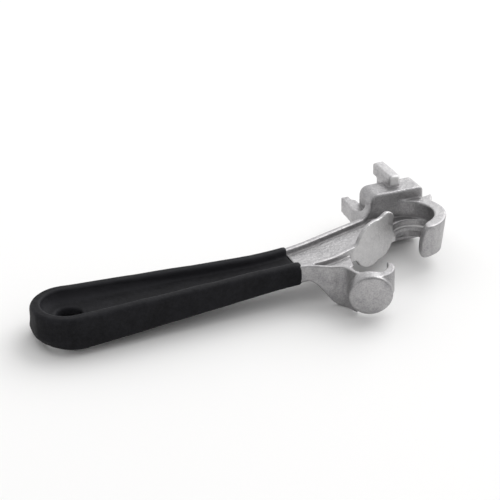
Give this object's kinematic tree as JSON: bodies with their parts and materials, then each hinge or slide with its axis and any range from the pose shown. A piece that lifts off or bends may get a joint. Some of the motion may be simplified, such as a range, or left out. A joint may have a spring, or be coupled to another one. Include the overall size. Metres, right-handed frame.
{
  "type": "painters multi tool",
  "caption": "One-piece cast multi tool with a dipped grip, C hook, lobed scraper, plug wrench block, hammer face and nail claw.",
  "frame": {"origin": "centre of the hang hole, on the mid plane of the web", "axes": "+X from the hang hole to the head, +Y to the plug wrench side of the head, +Z square to the web, to the side that the cross bar stands on"},
  "size_m": [0.2295, 0.0916, 0.0381],
  "materials": {
    "cast_aluminium": "matte sand-cast skin with brighter edges",
    "dipped_vinyl": "matte"
  },
  "bodies": {
    "root": {"tool_casting": "cast_aluminium", "grip_sleeve": "dipped_vinyl"}
  },
  "joints": []
}
